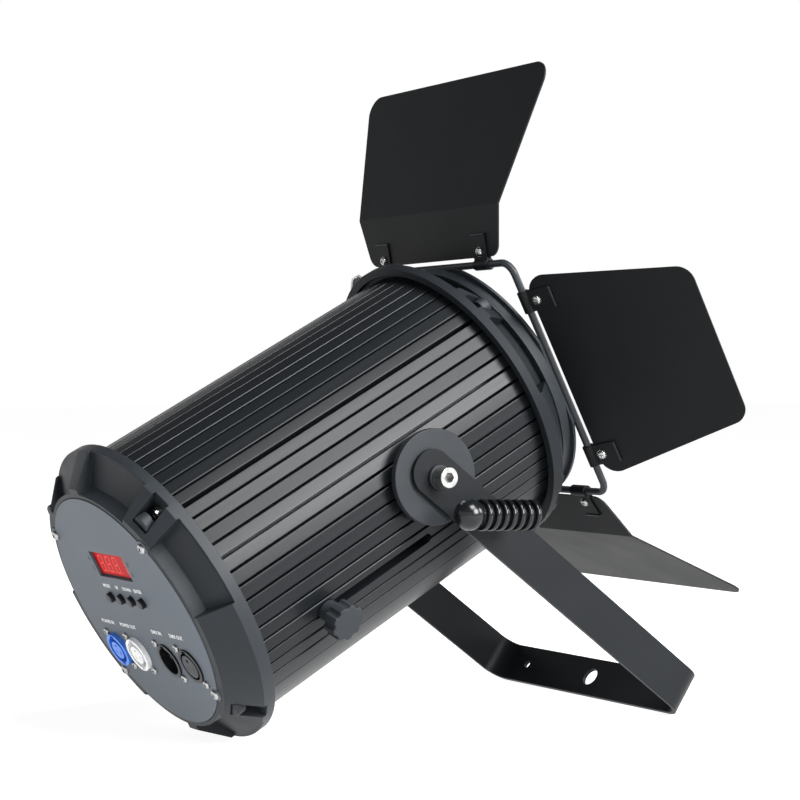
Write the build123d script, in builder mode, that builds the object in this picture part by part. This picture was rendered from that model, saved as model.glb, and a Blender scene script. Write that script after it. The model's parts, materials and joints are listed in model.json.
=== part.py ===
from build123d import *
import os
from math import asin, atan, cos, degrees, hypot, radians, sin

# Zoom par lantern: finned tube head with cast end rings, barn doors and a flat yoke,
# standing on the yoke's cross bar and the rear ring. Millimetres, +Z up, beam towards -Y.
# The head is drawn in its own frame: x to the lantern's left, y up, z along the beam,
# starting at the rear panel's face. The near side that carries the controls is -x.

# stance
beam_pitch = 28.4
shift_y = 34.32

# housing
fin_r = 99.0
slot_count = 62
slot_width = 1.4
slot_depth = 16.0
shell_in_r = 80.0
slots_below_side = 6
boss_r = 19.0

# end rings, drawn from their outer face towards the housing
ring_r = 107.5
ring_face_r = 90.0
ring_depth = 27.0
ring_slope = 18.0
rim_in_r = 102.0
web_depth = 22.0
ring_bore_r = 79.0
head_len = 300.6
panel_r = 83.3
panel_t = 2.0
lobe_r = 5.0
lobe_in = 0.8
lobe_deg = 39.5

# pivot and yoke
pivot_z = 181.2
yoke_half = 111.0
yoke_t = 3.0
yoke_w = 30.0
yoke_len = 269.5
yoke_bend_r = 16.0
yoke_end = 19.5
disc_r = 31.0
disc_t = 4.9
bolt_r = 4.0
hang_hole_r = 6.75
side_hole_r = 3.0
side_hole_x = 77.0
fit_gap = 0.05

# clamping lever on the near arm
lever_n = 6.5
lever_d = 50.0
grip_off = 24.0
grip_r = 10.2
grip_core_r = 7.4
grip_reach = 37.4
grip_dir_deg = 214.0
disc_pitch = 6.4

# zoom
knob_deg = 202.5
knob_z = 80.0
knob_r = 12.0
knob_top = 120.0
knob_height = 10.0
slot_len = 86.0
stud_r = 3.0
rod_r = 3.0
rod_at = 70.0
plate_z = 60.0
plate_t = 6.0
rod_front = 268.0

# barn doors
wire_r = 2.5
wire_half = 88.4
wire_corner_r = 9.0
wire_off = 11.6
flange_edge = 5.6
flange_bore = 78.0
flange_lap = 0.6
leaf_t = 1.2
leaf_start = 5.0
leaf_inner_half = 77.0
side_leaf_len = 121.0
side_leaf_tip_half = 55.0
fold_at = 40.0
fold_half = 85.5
wing_len = 98.0
wing_tip_half = 110.0
fold_deg = 25.5
open_top = 72.0
open_bottom = 80.0
open_side = 66.0
clip_at = 59.0
clip_w = 15.0

# rear panel layout, u to the lantern's right seen from behind, v up
display_v = 34.0
display_w = 48.0
display_h = 18.5
button_v = 9.3
button_us = (-22.4, -7.5, 7.5, 22.4)
button_r = 3.5
button_out = 3.0
socket_v = -34.0
socket_us = (-52.0, -23.2, 19.2, 48.4)
socket_r = 12.0
socket_screw_u = 9.5
socket_screw_v = 12.0

os.makedirs("parts", exist_ok=True)

# places that follow from the sizes above
lobe_at = panel_r - lobe_in
grip_x = yoke_half + grip_off
wire_z = head_len + wire_off
flange_r = wire_half + flange_edge
flange_flat = wire_half + flange_lap

pitch_s = sin(radians(beam_pitch))
pitch_c = cos(radians(beam_pitch))
pivot_h = ring_r * pitch_c - ring_slope * pitch_s + pivot_z * pitch_s
yoke_lean = degrees(asin(pivot_h / hypot(yoke_len, yoke_w / 2)) - atan(yoke_w / 2 / yoke_len))
lean_s = sin(radians(yoke_lean))
lean_c = cos(radians(yoke_lean))
pivot = Vector(0, shift_y, pivot_h)
beam = Vector(0, -pitch_c, pitch_s)
HEAD = Plane(origin=pivot - beam * pivot_z, x_dir=(1, 0, 0), z_dir=beam)


def head_dir(v):
    """A direction in the head's frame, turned into the model's frame."""
    return HEAD.from_local_coords(Vector(*v)) - HEAD.origin


def head_plane(at, normal=(0, 0, 1), across=(1, 0, 0)):
    """A work plane given in the head's frame."""
    origin = HEAD.from_local_coords(Vector(*at))
    return Plane(origin=origin, x_dir=head_dir(across), z_dir=head_dir(normal))


def yoke_plane(x, n, d, normal, across):
    """A work plane given in the yoke's frame: x sideways, n off the strap's edge, d along the arm."""
    def turn(v):
        return Vector(v[0], -lean_s * v[1] - lean_c * v[2], lean_c * v[1] - lean_s * v[2])

    return Plane(origin=pivot + turn((x, n, d)), x_dir=turn(across), z_dir=turn(normal))


def polar(radius, deg):
    """A point of the head's cross section."""
    return radius * cos(radians(deg)), radius * sin(radians(deg))


def save(name, builder):
    """Label a finished piece and write its STEP file."""
    builder.part.label = name
    export_step(builder.part, f"parts/{name}.step")


PROFILE = head_plane((0, 0, 0), normal=(0, -1, 0))
REAR = head_plane((0, 0, 0), normal=(0, 0, -1), across=(-1, 0, 0))
BEAM_AXIS = Axis(HEAD.origin, HEAD.z_dir)
slot_pitch = 360 / slot_count
body_z0 = web_depth
body_z1 = head_len - web_depth

# ---------------------------------------------------------------- housing
with BuildPart() as body_housing:
    with BuildSketch(HEAD.offset(body_z0)):
        Circle(fin_r)
        Circle(shell_in_r, mode=Mode.SUBTRACT)
        slots = slot_count // 2 + 2 * slots_below_side + 1
        slot_mid = fin_r - slot_depth / 2 + 1
        with PolarLocations(slot_mid, slots, -slots_below_side * slot_pitch, slots * slot_pitch):
            Rectangle(slot_depth + 2, slot_width, mode=Mode.SUBTRACT)
    extrude(amount=body_z1 - body_z0)
    boss_face = yoke_half - yoke_t - fit_gap - disc_t
    for side in (-1, 1):
        with BuildSketch(head_plane((side * (shell_in_r + 2), 0, pivot_z), (side, 0, 0), (0, 1, 0))):
            Circle(boss_r)
        extrude(amount=boss_face - shell_in_r - 2)
        with BuildSketch(head_plane((side * 70, 0, pivot_z), (side, 0, 0), (0, 1, 0))):
            Circle(bolt_r + fit_gap)
        extrude(amount=60, mode=Mode.SUBTRACT)
    slot_x, slot_y = polar(1, knob_deg)
    slot_mid_z = knob_z + slot_len / 2
    with BuildSketch(head_plane((slot_x * 70, slot_y * 70, slot_mid_z), (slot_x, slot_y, 0), (0, 0, 1))):
        SlotCenterToCenter(slot_len, 2 * stud_r + 1)
    extrude(amount=40, mode=Mode.SUBTRACT)
save("body_housing", body_housing)


def ring_points(points, face, sense):
    """Turn (radius, depth) pairs of a ring section into profile points."""
    return [(r, face + sense * depth) for r, depth in points]


ring_section = [
    (panel_r + 0.3, 0.5),
    (ring_face_r, 0.5),
    (ring_r, ring_slope),
    (ring_r, ring_depth),
    (rim_in_r, ring_depth),
    (rim_in_r, web_depth),
    (ring_bore_r, web_depth),
    (ring_bore_r, panel_t),
    (panel_r + 0.3, panel_t),
]
pocket_section = [
    (panel_r + 3.0, -1.0),
    (panel_r + 3.6, 10.0),
    (ring_r - 3.5, 20.0),
    (ring_r + 6.0, 20.0),
    (ring_r + 6.0, -1.0),
]
pocket_spans = [(3.5, 36.0), (53.0, 86.0), (94.0, 127.0), (144.0, 176.5)]
low_pocket_spans = [(-86.0, -53.0), (-127.0, -94.0)]
window_degs = (45, 135, 225, 315)


def end_ring(face, sense):
    """Cast ring with pockets and four screw windows; sense is +1 when it opens along the beam."""
    with BuildPart() as ring:
        with BuildSketch(PROFILE):
            with BuildLine():
                Polyline(*ring_points(ring_section, face, sense), close=True)
            make_face()
        revolve(axis=BEAM_AXIS)
        for start, stop in pocket_spans + low_pocket_spans:
            section = head_plane((0, 0, 0), normal=(*polar(1, start - 90), 0), across=(*polar(1, start), 0))
            with BuildSketch(section):
                with BuildLine():
                    Polyline(*ring_points(pocket_section, face, sense), close=True)
                make_face()
            revolve(axis=BEAM_AXIS, revolution_arc=stop - start, mode=Mode.SUBTRACT)
        for deg in window_degs:
            x, y = polar(88, deg)
            nx, ny = polar(1, deg)
            with BuildSketch(head_plane((x, y, face + sense * 12), (nx, ny, 0), (0, 0, 1))):
                Rectangle(17, 13)
            extrude(amount=30, mode=Mode.SUBTRACT)
    return ring


# ---------------------------------------------------------------- rear ring and its panel
with BuildPart() as rear_ring:
    add(end_ring(0, 1).part)
    with BuildSketch(HEAD.offset(-1)):
        for deg in (lobe_deg, 180 - lobe_deg, 180 + lobe_deg, 360 - lobe_deg):
            with Locations(polar(lobe_at, deg)):
                Circle(lobe_r + 0.3)
    extrude(amount=1 + panel_t, mode=Mode.SUBTRACT)
    with BuildSketch(HEAD.offset(panel_t)):
        for deg in (lobe_deg, 180 - lobe_deg, 180 + lobe_deg, 360 - lobe_deg):
            with Locations(polar(lobe_at, deg)):
                Circle(1.55)
    extrude(amount=8, mode=Mode.SUBTRACT)
save("rear_ring", rear_ring)

with BuildPart() as rear_panel:
    with BuildSketch(HEAD):
        Circle(panel_r)
        for deg in (lobe_deg, 180 - lobe_deg, 180 + lobe_deg, 360 - lobe_deg):
            with Locations(polar(lobe_at, deg)):
                Circle(lobe_r)
        for deg in (lobe_deg, 180 - lobe_deg, 180 + lobe_deg, 360 - lobe_deg):
            with Locations(polar(lobe_at, deg)):
                Circle(1.6, mode=Mode.SUBTRACT)
        with Locations((0, display_v)):
            Rectangle(display_w, display_h, mode=Mode.SUBTRACT)
        for u in button_us:
            with Locations((-u, button_v)):
                Circle(button_r + 0.3, mode=Mode.SUBTRACT)
        for u in socket_us:
            with Locations((-u, socket_v)):
                Circle(socket_r + 0.1, mode=Mode.SUBTRACT)
            screw_u = socket_screw_u
            with Locations((-u + screw_u, socket_v + socket_screw_v), (-u - screw_u, socket_v - socket_screw_v)):
                Circle(1.6, mode=Mode.SUBTRACT)
    extrude(amount=panel_t)
save("rear_panel", rear_panel)

with BuildPart() as panel_screws:
    for deg in (lobe_deg, 180 - lobe_deg, 180 + lobe_deg, 360 - lobe_deg):
        x, y = polar(lobe_at, deg)
        with BuildSketch(head_plane((x, y, 0), (0, 0, -1), (-1, 0, 0))):
            Circle(3.4)
        extrude(amount=2.2)
        with BuildSketch(head_plane((x, y, -2.2), (0, 0, -1), (-1, 0, 0))):
            Rectangle(4.2, 0.9)
            Rectangle(0.9, 4.2)
        extrude(amount=-1.1, mode=Mode.SUBTRACT)
        with BuildSketch(head_plane((x, y, 0), (0, 0, 1), (1, 0, 0))):
            Circle(1.5)
        extrude(amount=9)
save("panel_screws", panel_screws)


def ring_screws(face, sense):
    """Four cap screws that hold an end ring to the housing."""
    with BuildPart() as screws:
        for deg in window_degs:
            x, y = polar(94, deg)
            seat = face + sense * 20.5
            with BuildSketch(head_plane((x, y, seat), (0, 0, -sense), (1, 0, 0))):
                Circle(4.2)
            extrude(amount=5.0)
            with BuildSketch(head_plane((x, y, seat - sense * 5.0), (0, 0, sense), (1, 0, 0))):
                RegularPolygon(2.3, 6)
            extrude(amount=2.6, mode=Mode.SUBTRACT)
    return screws


save("rear_ring_screws", ring_screws(0, 1))

# ---------------------------------------------------------------- display, buttons and boards
with BuildPart() as display_window:
    with BuildSketch(HEAD.offset(panel_t)):
        with Locations((0, display_v)):
            Rectangle(display_w + 4, display_h + 4)
    extrude(amount=1.5)
save("display_window", display_window)

with BuildPart() as display_module:
    with BuildSketch(HEAD.offset(panel_t + 1.5)):
        with Locations((0, display_v)):
            Rectangle(display_w + 2, display_h + 1)
    extrude(amount=7)
save("display_module", display_module)

board_z = panel_t + 8.5
with BuildPart() as control_board:
    with BuildSketch(HEAD.offset(board_z)):
        with Locations((0, 23)):
            Rectangle(70, 44)
    extrude(amount=1.6)
    with BuildSketch(HEAD.offset(board_z)):
        for u in button_us:
            with Locations((-u, button_v)):
                Rectangle(6, 6)
    extrude(amount=-3.4)
save("control_board", control_board)

for number, u in enumerate(button_us, start=1):
    with BuildPart() as button:
        with BuildSketch(HEAD.offset(-button_out)):
            with Locations((-u, button_v)):
                Circle(button_r)
        extrude(amount=button_out + panel_t - 0.4)
        fillet(button.faces().sort_by(BEAM_AXIS)[0].edges(), 0.8)
        with BuildSketch(HEAD.offset(panel_t - 0.4)):
            with Locations((-u, button_v)):
                Circle(2.0)
        extrude(amount=board_z - 3.4 - 1.2 - panel_t + 0.4)
    save(f"button_{number}", button)


def socket_base(u, collar):
    """Round chassis socket body with its square flange behind the panel."""
    with BuildPart() as base:
        with BuildSketch(HEAD.offset(-collar)):
            with Locations((-u, socket_v)):
                Circle(socket_r)
        extrude(amount=collar + 22)
        with BuildSketch(HEAD.offset(panel_t)):
            with Locations((-u, socket_v)):
                RectangleRounded(26, 31, 3)
            Circle(ring_bore_r - 0.4, mode=Mode.INTERSECT)
            for sense in (-1, 1):
                with Locations((-u - sense * socket_screw_u, socket_v - sense * socket_screw_v)):
                    Circle(1.6, mode=Mode.SUBTRACT)
        extrude(amount=2)
    return base.part


def power_socket(u, collar):
    """Locking mains socket: ring, sunk floor and a raised core with three contact slots."""
    with BuildPart() as socket:
        add(socket_base(u, collar))
        with BuildSketch(HEAD.offset(-collar)):
            with Locations((-u, socket_v)):
                Circle(9.6)
                Circle(6.6, mode=Mode.SUBTRACT)
        extrude(amount=14, mode=Mode.SUBTRACT)
        with BuildSketch(HEAD.offset(-collar)):
            with Locations((-u, socket_v + 9.6)):
                Rectangle(5, 3)
            with Locations((-u, socket_v - 9.6)):
                Rectangle(3.4, 3)
        extrude(amount=9, mode=Mode.SUBTRACT)
        with BuildSketch(HEAD.offset(-collar)):
            with Locations((-u, socket_v)):
                with PolarLocations(3.4, 3, 90):
                    Rectangle(0.9, 3.2)
        extrude(amount=8, mode=Mode.SUBTRACT)
    return socket


save("power_in", power_socket(socket_us[0], 3.0))
save("power_out", power_socket(socket_us[1], 3.0))

with BuildPart() as dmx_in:
    add(socket_base(socket_us[2], 1.2))
    with BuildSketch(HEAD.offset(-1.2)):
        with Locations((-socket_us[2], socket_v)):
            Circle(9.6)
        with Locations((-socket_us[2], socket_v + 9.6)):
            Rectangle(4.5, 3)
    extrude(amount=13, mode=Mode.SUBTRACT)
save("dmx_in", dmx_in)

with BuildPart() as dmx_in_pins:
    with BuildSketch(HEAD.offset(11.8)):
        with Locations((-socket_us[2], socket_v)):
            with PolarLocations(4.2, 3, 180, 270):
                Circle(1.2)
    extrude(amount=-9)
save("dmx_in_pins", dmx_in_pins)

with BuildPart() as dmx_out:
    add(socket_base(socket_us[3], 1.2))
    with BuildSketch(HEAD.offset(-1.2)):
        with Locations((-socket_us[3], socket_v)):
            Circle(9.6)
            Circle(8.2, mode=Mode.SUBTRACT)
        with Locations((-socket_us[3], socket_v + 9.6)):
            Rectangle(4.5, 3)
    extrude(amount=9, mode=Mode.SUBTRACT)
    with BuildSketch(HEAD.offset(-1.2)):
        with Locations((-socket_us[3], socket_v)):
            with PolarLocations(4.2, 3, 0, 270):
                Circle(1.3)
    extrude(amount=8, mode=Mode.SUBTRACT)
save("dmx_out", dmx_out)

with BuildPart() as socket_screws:
    for u in socket_us:
        for sense in (-1, 1):
            at = (-u - sense * socket_screw_u, socket_v - sense * socket_screw_v)
            with BuildSketch(HEAD):
                with Locations(at):
                    Circle(2.7)
            extrude(amount=-1.7)
            with BuildSketch(HEAD.offset(-1.7)):
                with Locations(at):
                    Rectangle(3.4, 0.8)
                    Rectangle(0.8, 3.4)
            extrude(amount=0.9, mode=Mode.SUBTRACT)
            with BuildSketch(HEAD):
                with Locations(at):
                    Circle(1.5)
            extrude(amount=6)
save("socket_screws", socket_screws)

# ---------------------------------------------------------------- power supply, fan and light engine
supply_z = 14.0
with BuildPart() as power_supply:
    with BuildSketch(HEAD.offset(supply_z)):
        with Locations((0, 30)):
            Rectangle(96, 52)
    extrude(amount=18)
    fillet(power_supply.edges().filter_by(Axis(HEAD.origin, HEAD.z_dir)), 2)
    with BuildSketch(HEAD.offset(panel_t)):
        with Locations((42, 8), (-42, 8), (42, 52), (-42, 52)):
            Circle(3)
    extrude(amount=supply_z - panel_t)
save("power_supply", power_supply)

fan_half = 46.0
fan_depth = 25.0
fan_shaft_r = 2.5
fan_z = plate_z - fan_depth
with BuildPart() as fan_frame:
    with BuildSketch(HEAD.offset(fan_z)):
        RectangleRounded(2 * fan_half, 2 * fan_half, 5)
        Circle(fan_half - 2, mode=Mode.SUBTRACT)
        with GridLocations(82.5, 82.5, 2, 2):
            Circle(2.2, mode=Mode.SUBTRACT)
    extrude(amount=fan_depth)
    with BuildSketch(HEAD.offset(plate_z - 3)):
        Circle(19)
        for deg in (45, 135):
            with Locations(Location((0, 0), deg)):
                Rectangle(2 * fan_half - 2, 4)
    extrude(amount=3)
    with BuildSketch(HEAD.offset(plate_z - 3)):
        Circle(fan_shaft_r)
    extrude(amount=-12)
save("fan_frame", fan_frame)

with BuildPart() as fan_rotor:
    with BuildSketch(HEAD.offset(fan_z + 1.5)):
        Circle(18)
    extrude(amount=fan_depth - 6)
    for number in range(7):
        nx, ny = polar(1, number * 360 / 7)
        tilt = radians(38)
        across = (-ny * cos(tilt), nx * cos(tilt), sin(tilt))
        with BuildSketch(head_plane((nx * 16, ny * 16, fan_z + fan_depth / 2 - 1.5), (nx, ny, 0), across)):
            Rectangle(19, 1.6)
        extrude(amount=26)
    with BuildSketch(HEAD.offset(plate_z - 3)):
        Circle(fan_shaft_r + fit_gap)
    extrude(amount=-13, mode=Mode.SUBTRACT)
save("fan_rotor", fan_rotor)

with BuildPart() as led_plate:
    with BuildSketch(HEAD.offset(plate_z)):
        Circle(shell_in_r)
        with PolarLocations(62, 8, 22.5):
            Circle(6, mode=Mode.SUBTRACT)
    extrude(amount=plate_t)
save("led_plate", led_plate)

with BuildPart() as led_board:
    with BuildSketch(HEAD.offset(plate_z + plate_t)):
        RectangleRounded(46, 46, 3)
    extrude(amount=2)
save("led_board", led_board)

with BuildPart() as led_emitter:
    with BuildSketch(HEAD.offset(plate_z + plate_t + 2)):
        Circle(15)
    extrude(amount=1)
save("led_emitter", led_emitter)

with BuildPart() as guide_rods:
    with BuildSketch(HEAD.offset(plate_z + plate_t)):
        with PolarLocations(rod_at, 3, 60):
            Circle(rod_r)
    extrude(amount=rod_front - plate_z - plate_t)
save("guide_rods", guide_rods)

with BuildPart() as rod_ring:
    with BuildSketch(HEAD.offset(rod_front)):
        Circle(shell_in_r)
        Circle(64, mode=Mode.SUBTRACT)
    extrude(amount=4)
save("rod_ring", rod_ring)

# ---------------------------------------------------------------- zoom carriage
carriage_t = 7.0
carriage_in_r = 60.0
with BuildPart() as zoom_carriage:
    with BuildSketch(HEAD.offset(knob_z - carriage_t / 2)):
        Circle(shell_in_r - 2)
        Circle(carriage_in_r, mode=Mode.SUBTRACT)
    extrude(amount=carriage_t)
    with BuildSketch(HEAD.offset(knob_z - 10)):
        with PolarLocations(rod_at, 3, 60):
            Circle(6.5)
    extrude(amount=20)
    with BuildSketch(HEAD.offset(knob_z - 11)):
        with PolarLocations(rod_at, 3, 60):
            Circle(rod_r + fit_gap)
    extrude(amount=22, mode=Mode.SUBTRACT)
    with BuildSketch(head_plane((slot_x * 66, slot_y * 66, knob_z), (slot_x, slot_y, 0), (0, 0, 1))):
        Circle(stud_r)
    extrude(amount=20, mode=Mode.SUBTRACT)
save("zoom_carriage", zoom_carriage)

lens_sag = 11.5
dome_r = (carriage_in_r**2 + lens_sag**2) / (2 * lens_sag)
with BuildPart() as zoom_lens:
    with Locations(HEAD.offset(knob_z + 2 + lens_sag - dome_r)):
        Sphere(dome_r)
    with BuildSketch(HEAD.offset(knob_z - 3)):
        Circle(carriage_in_r)
    extrude(amount=30, mode=Mode.INTERSECT)
save("zoom_lens", zoom_lens)

with BuildPart() as zoom_stud:
    with BuildSketch(head_plane((slot_x * 66, slot_y * 66, knob_z), (slot_x, slot_y, 0), (0, 0, 1))):
        Circle(stud_r)
    extrude(amount=knob_top - 3 - 66)
save("zoom_stud", zoom_stud)

with BuildPart() as zoom_knob:
    knob_base = knob_top - knob_height
    with BuildSketch(head_plane((slot_x * knob_base, slot_y * knob_base, knob_z), (slot_x, slot_y, 0), (0, 0, 1))):
        Circle(knob_r)
        with PolarLocations(knob_r + 1.6, 9):
            Circle(3.0, mode=Mode.SUBTRACT)
    extrude(amount=knob_height)
    fillet(zoom_knob.faces().sort_by(Axis(HEAD.origin, head_dir((slot_x, slot_y, 0))))[-1].edges(), 0.9)
    neck_base = fin_r + 0.9
    with BuildSketch(head_plane((slot_x * neck_base, slot_y * neck_base, knob_z), (slot_x, slot_y, 0), (0, 0, 1))):
        Circle(7)
    extrude(amount=knob_base - neck_base)
    with BuildSketch(head_plane((slot_x * 90, slot_y * 90, knob_z), (slot_x, slot_y, 0), (0, 0, 1))):
        Circle(stud_r + fit_gap)
    extrude(amount=knob_top - 2.9 - 90, mode=Mode.SUBTRACT)
save("zoom_knob", zoom_knob)

# ---------------------------------------------------------------- front ring, lens and accessory holder
save("front_ring", end_ring(head_len, -1))
save("front_ring_screws", ring_screws(head_len, -1))

lens_z = body_z1 + 4
with BuildPart() as front_lens:
    with BuildSketch(HEAD.offset(lens_z)):
        Circle(ring_bore_r)
    extrude(amount=4)
save("front_lens", front_lens)

with BuildPart() as lens_retainer:
    with BuildSketch(HEAD.offset(lens_z + 4)):
        Circle(ring_bore_r)
        Circle(ring_bore_r - 4, mode=Mode.SUBTRACT)
    extrude(amount=3)
save("lens_retainer", lens_retainer)

flange_z = wire_z - wire_r - 2
holder_top = flange_z - 0.1
collar_r = 84.0
with BuildPart() as accessory_holder:
    with BuildSketch(HEAD.offset(head_len - 0.5)):
        Circle(ring_face_r + 1)
        Circle(flange_bore + 1, mode=Mode.SUBTRACT)
    extrude(amount=1.2)
    with BuildSketch(HEAD.offset(head_len + 0.7)):
        Circle(ring_face_r + 1)
        Circle(collar_r + fit_gap, mode=Mode.SUBTRACT)
    extrude(amount=holder_top - head_len - 0.7)
    with BuildSketch(HEAD.offset(head_len + 0.7)):
        Circle(collar_r + 1.6)
    extrude(amount=1.6, mode=Mode.SUBTRACT)
    with BuildSketch(HEAD.offset(head_len - 0.6)):
        Circle(flange_bore + 1)
    extrude(amount=3, mode=Mode.SUBTRACT)
save("accessory_holder", accessory_holder)

with BuildPart() as safety_latch:
    latch_x, latch_y = polar(1, 45)
    latch_at = (latch_x * (ring_face_r + 1), latch_y * (ring_face_r + 1), head_len + 3.4)
    with BuildSketch(head_plane(latch_at, (latch_x, latch_y, 0), (-latch_y, latch_x, 0))):
        Rectangle(11, 1.6)
    extrude(amount=34)
    tip_at = (latch_x * (ring_face_r + 34), latch_y * (ring_face_r + 34), head_len + 3.4)
    with BuildSketch(head_plane(tip_at, (latch_x, latch_y, 0), (-latch_y, latch_x, 0))):
        with Locations((0, -3)):
            Rectangle(11, 7)
    extrude(amount=1.6)
save("safety_latch", safety_latch)

# ---------------------------------------------------------------- barn door frame
with BuildPart() as barn_flange:
    with BuildSketch(HEAD.offset(flange_z)):
        Circle(flange_r)
        Rectangle(2 * flange_flat, 2 * flange_flat, mode=Mode.INTERSECT)
        Circle(flange_bore, mode=Mode.SUBTRACT)
        hole_near = 29.4
        hole_far = 81.3
        for deg in (0, 90, 180, 270):
            with Locations(Location((0, 0), deg)):
                with Locations((hole_far, hole_near), (hole_far, -hole_near)):
                    Circle(2.6, mode=Mode.SUBTRACT)
    extrude(amount=2)
    with BuildSketch(HEAD.offset(head_len + 1)):
        Circle(collar_r)
        Circle(collar_r - 2.5, mode=Mode.SUBTRACT)
    extrude(amount=flange_z - head_len - 1)
    with BuildSketch(HEAD.offset(head_len + 1)):
        Circle(collar_r + 1.4)
        Circle(collar_r - 2.5, mode=Mode.SUBTRACT)
    extrude(amount=1.1)
save("barn_flange", barn_flange)

with BuildPart() as barn_frame:
    corner = wire_half - wire_corner_r
    for deg in (0, 90, 180, 270):
        nx, ny = polar(1, deg)
        tx, ty = polar(1, deg + 90)
        start = (nx * wire_half - tx * corner, ny * wire_half - ty * corner, wire_z)
        with BuildSketch(head_plane(start, (tx, ty, 0), (0, 0, 1))):
            Circle(wire_r)
        extrude(amount=2 * corner)
        turn_at = (nx * corner + tx * corner, ny * corner + ty * corner, wire_z)
        end = (nx * wire_half + tx * corner, ny * wire_half + ty * corner, wire_z)
        with BuildSketch(head_plane(end, (tx, ty, 0), (0, 0, 1))):
            Circle(wire_r)
        revolve(axis=Axis(HEAD.from_local_coords(Vector(*turn_at)), HEAD.z_dir), revolution_arc=90)
save("barn_frame", barn_frame)


def leaf_frame(side_deg, open_deg, along=0.0, turn_deg=0.0):
    """Plane of a leaf: x runs out from the hinge wire, y runs along it, z faces outwards."""
    nx, ny = polar(1, side_deg)
    a = radians(open_deg)
    out = (nx * sin(a), ny * sin(a), cos(a))
    at = (nx * wire_half + out[0] * along, ny * wire_half + out[1] * along, wire_z + out[2] * along)
    b = radians(open_deg - turn_deg)
    out_b = (nx * sin(b), ny * sin(b), cos(b))
    face_b = (nx * cos(b), ny * cos(b), -sin(b))
    return head_plane(at, face_b, out_b)


def side_leaf(side_deg, open_deg):
    """Flat leaf that narrows towards its tip."""
    plane = leaf_frame(side_deg, open_deg)
    with BuildPart() as leaf:
        with BuildSketch(plane):
            with BuildLine():
                Polyline(
                    (leaf_start, -leaf_inner_half),
                    (side_leaf_len, -side_leaf_tip_half),
                    (side_leaf_len, side_leaf_tip_half),
                    (leaf_start, leaf_inner_half),
                    close=True,
                )
            outline = make_face()
            fillet(outline.vertices(), 12)
            with Locations((9, clip_at), (9, -clip_at)):
                Circle(1.6, mode=Mode.SUBTRACT)
        extrude(amount=leaf_t / 2, both=True)
    return leaf


def wing_leaf(side_deg, open_deg):
    """Leaf with a fold across it and an outer panel that widens."""
    plane = leaf_frame(side_deg, open_deg)
    fold_plane = leaf_frame(side_deg, open_deg, along=fold_at, turn_deg=fold_deg)
    fold_end = fold_plane.from_local_coords(Vector(0, -fold_half, 0))
    with BuildPart() as leaf:
        with BuildSketch(plane):
            with BuildLine():
                Polyline(
                    (leaf_start, -leaf_inner_half),
                    (fold_at, -fold_half),
                    (fold_at, fold_half),
                    (leaf_start, leaf_inner_half),
                    close=True,
                )
            inner = make_face()
            fillet(inner.vertices().sort_by(Axis.X)[:2], 10)
            with Locations((9, clip_at), (9, -clip_at)):
                Circle(1.6, mode=Mode.SUBTRACT)
        extrude(amount=leaf_t / 2, both=True)
        with BuildSketch(fold_plane):
            with BuildLine():
                Polyline(
                    (0, -fold_half),
                    (wing_len, -wing_tip_half),
                    (wing_len, wing_tip_half),
                    (0, fold_half),
                    close=True,
                )
            outer = make_face()
            fillet(outer.vertices().sort_by(Axis.X)[-2:], 12)
        extrude(amount=leaf_t / 2, both=True)
        with BuildSketch(Plane(origin=fold_end, x_dir=fold_plane.x_dir, z_dir=fold_plane.y_dir)):
            Circle(leaf_t / 2)
        extrude(amount=2 * fold_half)
    return leaf


def leaf_clips(side_deg, open_deg):
    """Two folded clips that grip the hinge wire and hold the leaf between their tabs."""
    plane = leaf_frame(side_deg, open_deg)
    with BuildPart() as clips:
        for v in (-clip_at, clip_at):
            foot = plane.from_local_coords(Vector(0, v - clip_w / 2, 0))
            with BuildSketch(Plane(origin=foot, x_dir=plane.x_dir, z_dir=plane.y_dir)):
                Circle(wire_r + 1.4)
                for lift in (-1, 1):
                    with Locations((11.5, lift * (leaf_t / 2 + 0.6))):
                        Rectangle(19, 1.2)
                Circle(wire_r + fit_gap, mode=Mode.SUBTRACT)
            extrude(amount=clip_w)
        with BuildSketch(plane.offset(-5)):
            with Locations((9, clip_at), (9, -clip_at)):
                Circle(1.6)
        extrude(amount=10, mode=Mode.SUBTRACT)
    return clips


def clip_screws(side_deg, open_deg):
    """Pan head screw and nut through each clip."""
    plane = leaf_frame(side_deg, open_deg)
    seat = leaf_t / 2 + 1.2
    at = Locations((9, clip_at), (9, -clip_at))
    with BuildPart() as screws:
        with BuildSketch(plane.offset(seat)):
            with at:
                Circle(3.0)
        extrude(amount=2.0)
        with BuildSketch(plane.offset(seat + 2)):
            with at:
                Rectangle(3.6, 0.9)
                Rectangle(0.9, 3.6)
        extrude(amount=-1.0, mode=Mode.SUBTRACT)
        with BuildSketch(plane.offset(seat)):
            with at:
                Circle(1.5)
        extrude(amount=-2 * seat - 3.2)
        with BuildSketch(plane.offset(-seat)):
            with at:
                RegularPolygon(3.1, 6)
        extrude(amount=-2.2)
    return screws


leaves = {
    "top": (wing_leaf, 90, open_top),
    "bottom": (wing_leaf, 270, open_bottom),
    "left": (side_leaf, 0, open_side),
    "right": (side_leaf, 180, open_side),
}
for name, (make_leaf, side_deg, open_deg) in leaves.items():
    save(f"leaf_{name}", make_leaf(side_deg, open_deg))
    save(f"leaf_{name}_clips", leaf_clips(side_deg, open_deg))
    save(f"leaf_{name}_screws", clip_screws(side_deg, open_deg))

# ---------------------------------------------------------------- pivots
with BuildPart() as friction_discs:
    for side in (-1, 1):
        with BuildSketch(head_plane((side * boss_face, 0, pivot_z), (side, 0, 0), (0, 1, 0))):
            Circle(disc_r)
            Circle(bolt_r + fit_gap, mode=Mode.SUBTRACT)
        extrude(amount=disc_t)
save("friction_discs", friction_discs)

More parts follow.
